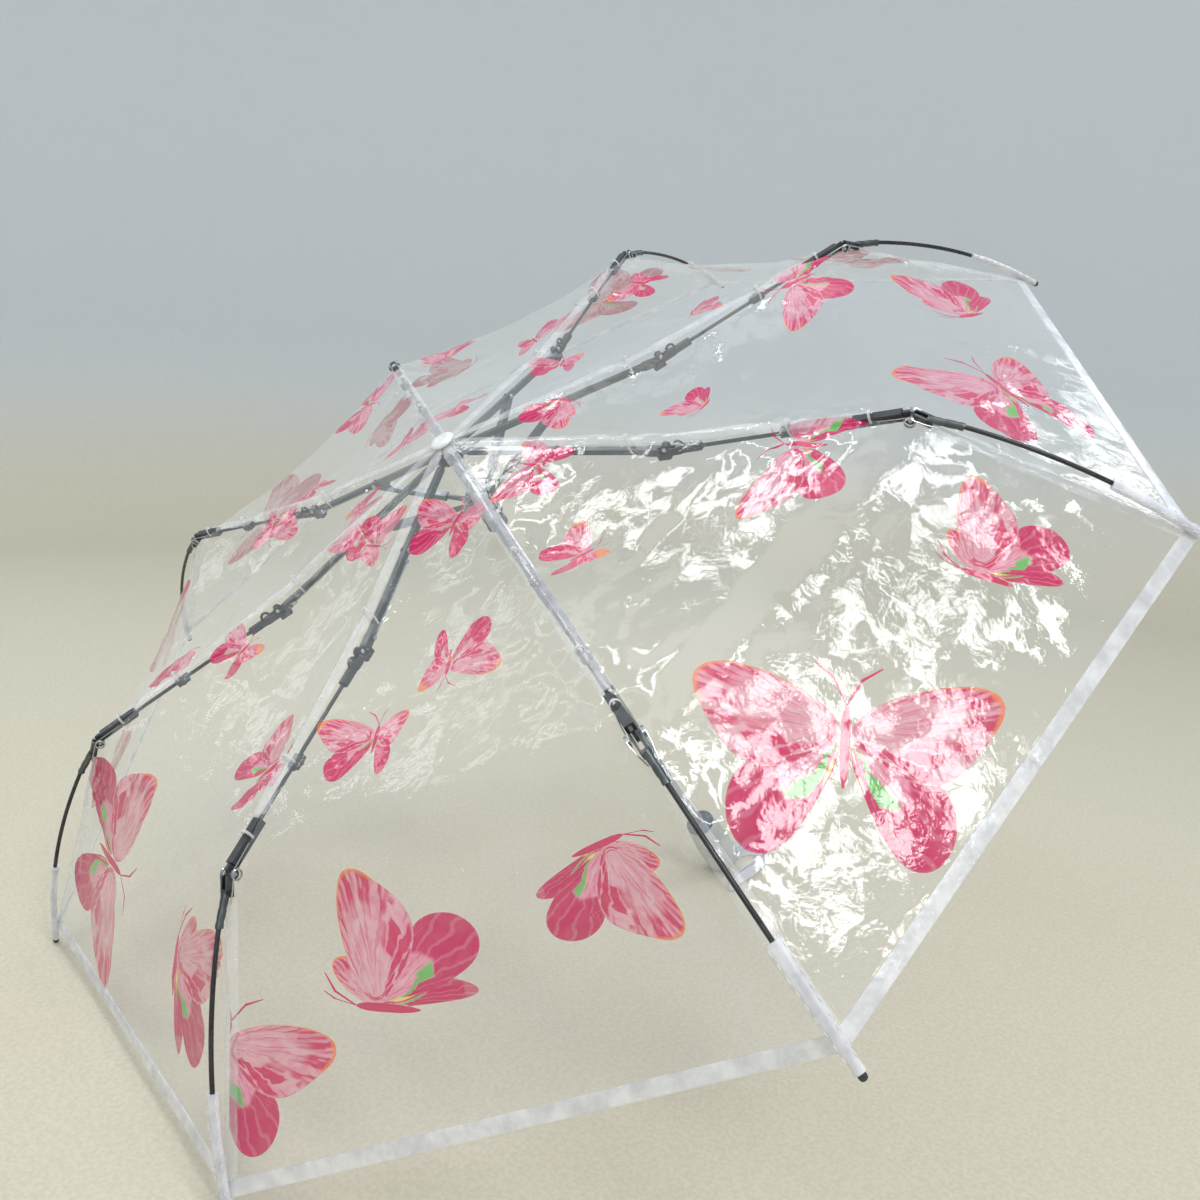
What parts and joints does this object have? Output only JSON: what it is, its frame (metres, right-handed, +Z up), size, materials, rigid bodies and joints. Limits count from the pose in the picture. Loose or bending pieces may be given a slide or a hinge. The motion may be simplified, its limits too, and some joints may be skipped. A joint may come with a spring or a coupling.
{
  "type": "folding umbrella",
  "caption": "Compact three-fold umbrella, open, with a clear printed film canopy on hinged ribs, a telescopic shaft and a short grip, lying on two rib tips and its handle.",
  "frame": {"origin": "on the floor, under the centre of the bounding box of the open umbrella as it lies on two rib tips and the rim of its handle", "axes": "+Z up from the floor; the shaft leans back at 39.9 degrees from +Z, so that the cap leans towards -Y and the handle lies towards +Y; X runs across the two ribs that stand on the floor"},
  "size_m": [0.922, 0.711, 0.6113],
  "materials": {
    "clear_film": "clear, crinkled, glossy printed film",
    "gunmetal_steel": "satin dark nickel",
    "link_steel": "bright drawn wire",
    "black_plastic": "moulded, satin",
    "shaft_steel": "plated tube",
    "white_plastic": "smooth",
    "grip_plastic": "frosted",
    "collar_plastic": "satin",
    "white_ribbon": "woven ribbon"
  },
  "bodies": {
    "handle": {"handle_grip": "grip_plastic", "handle_collar": "collar_plastic", "handle_base": "grip_plastic", "shaft_lower": "shaft_steel", "wrist_strap": "white_ribbon"},
    "middle_tube": {"shaft_middle": "shaft_steel"},
    "upper_tube": {"shaft_upper": "shaft_steel", "crown": "black_plastic", "cap_washer": "white_plastic", "top_cap": "white_plastic", "canopy_panel_1": "clear_film", "canopy_panel_2": "clear_film", "canopy_panel_3": "clear_film", "canopy_panel_4": "clear_film", "canopy_panel_5": "clear_film", "canopy_panel_6": "clear_film", "canopy_panel_7": "clear_film", "canopy_panel_8": "clear_film"},
    "runner": {"runner": "black_plastic"},
    "runner_button": {"runner_button": "collar_plastic"},
    "top_rib_1": {"top_rib_1": "gunmetal_steel", "link_wire_1": "link_steel"},
    "stretcher_1": {"stretcher_1": "gunmetal_steel"},
    "middle_rib_1": {"middle_rib_1": "black_plastic"},
    "outer_rib_1": {"outer_rib_1": "black_plastic"},
    "top_rib_2": {"top_rib_2": "gunmetal_steel", "link_wire_2": "link_steel"},
    "stretcher_2": {"stretcher_2": "gunmetal_steel"},
    "middle_rib_2": {"middle_rib_2": "black_plastic"},
    "outer_rib_2": {"outer_rib_2": "black_plastic"},
    "top_rib_3": {"top_rib_3": "gunmetal_steel", "link_wire_3": "link_steel"},
    "stretcher_3": {"stretcher_3": "gunmetal_steel"},
    "middle_rib_3": {"middle_rib_3": "black_plastic"},
    "outer_rib_3": {"outer_rib_3": "black_plastic"},
    "top_rib_4": {"top_rib_4": "gunmetal_steel", "link_wire_4": "link_steel"},
    "stretcher_4": {"stretcher_4": "gunmetal_steel"},
    "middle_rib_4": {"middle_rib_4": "black_plastic"},
    "outer_rib_4": {"outer_rib_4": "black_plastic"},
    "top_rib_5": {"top_rib_5": "gunmetal_steel", "link_wire_5": "link_steel"},
    "stretcher_5": {"stretcher_5": "gunmetal_steel"},
    "middle_rib_5": {"middle_rib_5": "black_plastic"},
    "outer_rib_5": {"outer_rib_5": "black_plastic"},
    "top_rib_6": {"top_rib_6": "gunmetal_steel", "link_wire_6": "link_steel"},
    "stretcher_6": {"stretcher_6": "gunmetal_steel"},
    "middle_rib_6": {"middle_rib_6": "black_plastic"},
    "outer_rib_6": {"outer_rib_6": "black_plastic"},
    "top_rib_7": {"top_rib_7": "gunmetal_steel", "link_wire_7": "link_steel"},
    "stretcher_7": {"stretcher_7": "gunmetal_steel"},
    "middle_rib_7": {"middle_rib_7": "black_plastic"},
    "outer_rib_7": {"outer_rib_7": "black_plastic"},
    "top_rib_8": {"top_rib_8": "gunmetal_steel", "link_wire_8": "link_steel"},
    "stretcher_8": {"stretcher_8": "gunmetal_steel"},
    "middle_rib_8": {"middle_rib_8": "black_plastic"},
    "outer_rib_8": {"outer_rib_8": "black_plastic"}
  },
  "joints": [
    {"name": "middle_tube_slide", "type": "slide", "parent": "handle", "child": "middle_tube", "axis": [0, 0.6414, -0.7672], "range_m": [0, 0.133]},
    {"name": "upper_tube_slide", "type": "slide", "parent": "middle_tube", "child": "upper_tube", "axis": [0, 0.6414, -0.7672], "range_m": [0, 0.133]},
    {"name": "runner_slide", "type": "slide", "parent": "upper_tube", "child": "runner", "axis": [0, 0.6414, -0.7672], "range_m": [0, 0.12384], "deforming": ["canopy_panel_1", "canopy_panel_2", "canopy_panel_3", "canopy_panel_4", "canopy_panel_5", "canopy_panel_6", "canopy_panel_7", "canopy_panel_8"]},
    {"name": "runner_button_press", "type": "slide", "parent": "runner", "child": "runner_button", "axis": [0, -0.7672, -0.6414], "range_m": [0, 0.001], "stiffness_N_per_m": 400, "springref_m": -0.002},
    {"name": "top_rib_hinge_1", "type": "hinge", "parent": "upper_tube", "child": "top_rib_1", "pos_m": [-0.00924, -0.10329, 0.42752], "axis": [-0.3827, -0.7088, -0.5926], "range_deg": [0, 76.5]},
    {"name": "stretcher_hinge_1", "type": "hinge", "parent": "top_rib_1", "child": "stretcher_1", "pos_m": [-0.08502, -0.06917, 0.43565], "axis": [0.3827, 0.7088, 0.5926], "range_deg": [0, 143.73]},
    {"name": "middle_rib_hinge_1", "type": "hinge", "parent": "top_rib_1", "child": "middle_rib_1", "pos_m": [-0.16404, -0.03556, 0.44647], "axis": [0.3827, 0.7088, 0.5926], "range_deg": [0, 170.8]},
    {"name": "outer_rib_hinge_1", "type": "hinge", "parent": "middle_rib_1", "child": "outer_rib_1", "pos_m": [-0.32092, 0.02075, 0.48043], "axis": [-0.3827, -0.7088, -0.5926], "range_deg": [0, 139.9]},
    {"name": "top_rib_hinge_2", "type": "hinge", "parent": "upper_tube", "child": "top_rib_2", "pos_m": [-0.00383, -0.09914, 0.43099], "axis": [-0.9239, -0.2936, -0.2455], "range_deg": [0, 76.5]},
    {"name": "stretcher_hinge_2", "type": "hinge", "parent": "top_rib_2", "child": "stretcher_2", "pos_m": [-0.03521, -0.03097, 0.46759], "axis": [0.9239, 0.2936, 0.2455], "range_deg": [0, 143.73]},
    {"name": "middle_rib_hinge_2", "type": "hinge", "parent": "top_rib_2", "child": "middle_rib_2", "pos_m": [-0.06795, 0.03816, 0.5081], "axis": [0.9239, 0.2936, 0.2455], "range_deg": [0, 170.8]},
    {"name": "outer_rib_hinge_2", "type": "hinge", "parent": "middle_rib_2", "child": "outer_rib_2", "pos_m": [-0.13293, 0.16498, 0.60101], "axis": [-0.9239, -0.2936, -0.2455], "range_deg": [0, 139.9]},
    {"name": "top_rib_hinge_3", "type": "hinge", "parent": "upper_tube", "child": "top_rib_3", "pos_m": [0.00383, -0.09914, 0.43099], "axis": [-0.9239, 0.2936, 0.2455], "range_deg": [0, 76.5]},
    {"name": "stretcher_hinge_3", "type": "hinge", "parent": "top_rib_3", "child": "stretcher_3", "pos_m": [0.03521, -0.03097, 0.46759], "axis": [0.9239, -0.2936, -0.2455], "range_deg": [0, 143.73]},
    {"name": "middle_rib_hinge_3", "type": "hinge", "parent": "top_rib_3", "child": "middle_rib_3", "pos_m": [0.06795, 0.03816, 0.5081], "axis": [0.9239, -0.2936, -0.2455], "range_deg": [0, 170.8]},
    {"name": "outer_rib_hinge_3", "type": "hinge", "parent": "middle_rib_3", "child": "outer_rib_3", "pos_m": [0.13293, 0.16498, 0.60101], "axis": [-0.9239, 0.2936, 0.2455], "range_deg": [0, 139.9]},
    {"name": "top_rib_hinge_4", "type": "hinge", "parent": "upper_tube", "child": "top_rib_4", "pos_m": [0.00924, -0.10329, 0.42752], "axis": [-0.3827, 0.7088, 0.5926], "range_deg": [0, 76.5]},
    {"name": "stretcher_hinge_4", "type": "hinge", "parent": "top_rib_4", "child": "stretcher_4", "pos_m": [0.08502, -0.06917, 0.43565], "axis": [0.3827, -0.7088, -0.5926], "range_deg": [0, 143.73]},
    {"name": "middle_rib_hinge_4", "type": "hinge", "parent": "top_rib_4", "child": "middle_rib_4", "pos_m": [0.16404, -0.03556, 0.44647], "axis": [0.3827, -0.7088, -0.5926], "range_deg": [0, 170.8]},
    {"name": "outer_rib_hinge_4", "type": "hinge", "parent": "middle_rib_4", "child": "outer_rib_4", "pos_m": [0.32092, 0.02075, 0.48043], "axis": [-0.3827, 0.7088, 0.5926], "range_deg": [0, 139.9]},
    {"name": "top_rib_hinge_5", "type": "hinge", "parent": "upper_tube", "child": "top_rib_5", "pos_m": [0.00924, -0.10916, 0.42261], "axis": [0.3827, 0.7088, 0.5926], "range_deg": [0, 76.5]},
    {"name": "stretcher_hinge_5", "type": "hinge", "parent": "top_rib_5", "child": "stretcher_5", "pos_m": [0.08502, -0.12321, 0.39047], "axis": [-0.3827, -0.7088, -0.5926], "range_deg": [0, 143.73]},
    {"name": "middle_rib_hinge_5", "type": "hinge", "parent": "top_rib_5", "child": "middle_rib_5", "pos_m": [0.16404, -0.13981, 0.35931], "axis": [-0.3827, -0.7088, -0.5926], "range_deg": [0, 170.8]},
    {"name": "outer_rib_hinge_5", "type": "hinge", "parent": "middle_rib_5", "child": "outer_rib_5", "pos_m": [0.32092, -0.18322, 0.30991], "axis": [0.3827, 0.7088, 0.5926], "range_deg": [0, 139.9]},
    {"name": "top_rib_hinge_6", "type": "hinge", "parent": "upper_tube", "child": "top_rib_6", "pos_m": [0.00383, -0.11331, 0.41914], "axis": [0.9239, 0.2936, 0.2455], "range_deg": [0, 76.5]},
    {"name": "stretcher_hinge_6", "type": "hinge", "parent": "top_rib_6", "child": "stretcher_6", "pos_m": [0.03521, -0.16142, 0.35853], "axis": [-0.9239, -0.2936, -0.2455], "range_deg": [0, 143.73]},
    {"name": "middle_rib_hinge_6", "type": "hinge", "parent": "top_rib_6", "child": "middle_rib_6", "pos_m": [0.06795, -0.21354, 0.29767], "axis": [-0.9239, -0.2936, -0.2455], "range_deg": [0, 170.8]},
    {"name": "outer_rib_hinge_6", "type": "hinge", "parent": "middle_rib_6", "child": "outer_rib_6", "pos_m": [0.13293, -0.32745, 0.18933], "axis": [0.9239, 0.2936, 0.2455], "range_deg": [0, 139.9]},
    {"name": "top_rib_hinge_7", "type": "hinge", "parent": "upper_tube", "child": "top_rib_7", "pos_m": [-0.00383, -0.11331, 0.41914], "axis": [0.9239, -0.2936, -0.2455], "range_deg": [0, 76.5]},
    {"name": "stretcher_hinge_7", "type": "hinge", "parent": "top_rib_7", "child": "stretcher_7", "pos_m": [-0.03521, -0.16142, 0.35853], "axis": [-0.9239, 0.2936, 0.2455], "range_deg": [0, 143.73]},
    {"name": "middle_rib_hinge_7", "type": "hinge", "parent": "top_rib_7", "child": "middle_rib_7", "pos_m": [-0.06795, -0.21354, 0.29767], "axis": [-0.9239, 0.2936, 0.2455], "range_deg": [0, 170.8]},
    {"name": "outer_rib_hinge_7", "type": "hinge", "parent": "middle_rib_7", "child": "outer_rib_7", "pos_m": [-0.13293, -0.32745, 0.18933], "axis": [0.9239, -0.2936, -0.2455], "range_deg": [0, 139.9]},
    {"name": "top_rib_hinge_8", "type": "hinge", "parent": "upper_tube", "child": "top_rib_8", "pos_m": [-0.00924, -0.10916, 0.42261], "axis": [0.3827, -0.7088, -0.5926], "range_deg": [0, 76.5]},
    {"name": "stretcher_hinge_8", "type": "hinge", "parent": "top_rib_8", "child": "stretcher_8", "pos_m": [-0.08502, -0.12321, 0.39047], "axis": [-0.3827, 0.7088, 0.5926], "range_deg": [0, 143.73]},
    {"name": "middle_rib_hinge_8", "type": "hinge", "parent": "top_rib_8", "child": "middle_rib_8", "pos_m": [-0.16404, -0.13981, 0.35931], "axis": [-0.3827, 0.7088, 0.5926], "range_deg": [0, 170.8]},
    {"name": "outer_rib_hinge_8", "type": "hinge", "parent": "middle_rib_8", "child": "outer_rib_8", "pos_m": [-0.32092, -0.18322, 0.30991], "axis": [0.3827, -0.7088, -0.5926], "range_deg": [0, 139.9]}
  ],
  "couplings": [
    {"joint": "top_rib_hinge_1", "follows": "runner_slide", "rad_per_m": 10.739},
    {"joint": "stretcher_hinge_1", "follows": "runner_slide", "rad_per_m": 20.214},
    {"joint": "middle_rib_hinge_1", "follows": "runner_slide", "rad_per_m": 24.029},
    {"joint": "outer_rib_hinge_1", "follows": "runner_slide", "rad_per_m": 19.674},
    {"joint": "top_rib_hinge_2", "follows": "runner_slide", "rad_per_m": 10.739},
    {"joint": "stretcher_hinge_2", "follows": "runner_slide", "rad_per_m": 20.214},
    {"joint": "middle_rib_hinge_2", "follows": "runner_slide", "rad_per_m": 24.029},
    {"joint": "outer_rib_hinge_2", "follows": "runner_slide", "rad_per_m": 19.674},
    {"joint": "top_rib_hinge_3", "follows": "runner_slide", "rad_per_m": 10.739},
    {"joint": "stretcher_hinge_3", "follows": "runner_slide", "rad_per_m": 20.214},
    {"joint": "middle_rib_hinge_3", "follows": "runner_slide", "rad_per_m": 24.029},
    {"joint": "outer_rib_hinge_3", "follows": "runner_slide", "rad_per_m": 19.674},
    {"joint": "top_rib_hinge_4", "follows": "runner_slide", "rad_per_m": 10.739},
    {"joint": "stretcher_hinge_4", "follows": "runner_slide", "rad_per_m": 20.214},
    {"joint": "middle_rib_hinge_4", "follows": "runner_slide", "rad_per_m": 24.029},
    {"joint": "outer_rib_hinge_4", "follows": "runner_slide", "rad_per_m": 19.674},
    {"joint": "top_rib_hinge_5", "follows": "runner_slide", "rad_per_m": 10.739},
    {"joint": "stretcher_hinge_5", "follows": "runner_slide", "rad_per_m": 20.214},
    {"joint": "middle_rib_hinge_5", "follows": "runner_slide", "rad_per_m": 24.029},
    {"joint": "outer_rib_hinge_5", "follows": "runner_slide", "rad_per_m": 19.674},
    {"joint": "top_rib_hinge_6", "follows": "runner_slide", "rad_per_m": 10.739},
    {"joint": "stretcher_hinge_6", "follows": "runner_slide", "rad_per_m": 20.214},
    {"joint": "middle_rib_hinge_6", "follows": "runner_slide", "rad_per_m": 24.029},
    {"joint": "outer_rib_hinge_6", "follows": "runner_slide", "rad_per_m": 19.674},
    {"joint": "top_rib_hinge_7", "follows": "runner_slide", "rad_per_m": 10.739},
    {"joint": "stretcher_hinge_7", "follows": "runner_slide", "rad_per_m": 20.214},
    {"joint": "middle_rib_hinge_7", "follows": "runner_slide", "rad_per_m": 24.029},
    {"joint": "outer_rib_hinge_7", "follows": "runner_slide", "rad_per_m": 19.674},
    {"joint": "top_rib_hinge_8", "follows": "runner_slide", "rad_per_m": 10.739},
    {"joint": "stretcher_hinge_8", "follows": "runner_slide", "rad_per_m": 20.214},
    {"joint": "middle_rib_hinge_8", "follows": "runner_slide", "rad_per_m": 24.029},
    {"joint": "outer_rib_hinge_8", "follows": "runner_slide", "rad_per_m": 19.674}
  ]
}
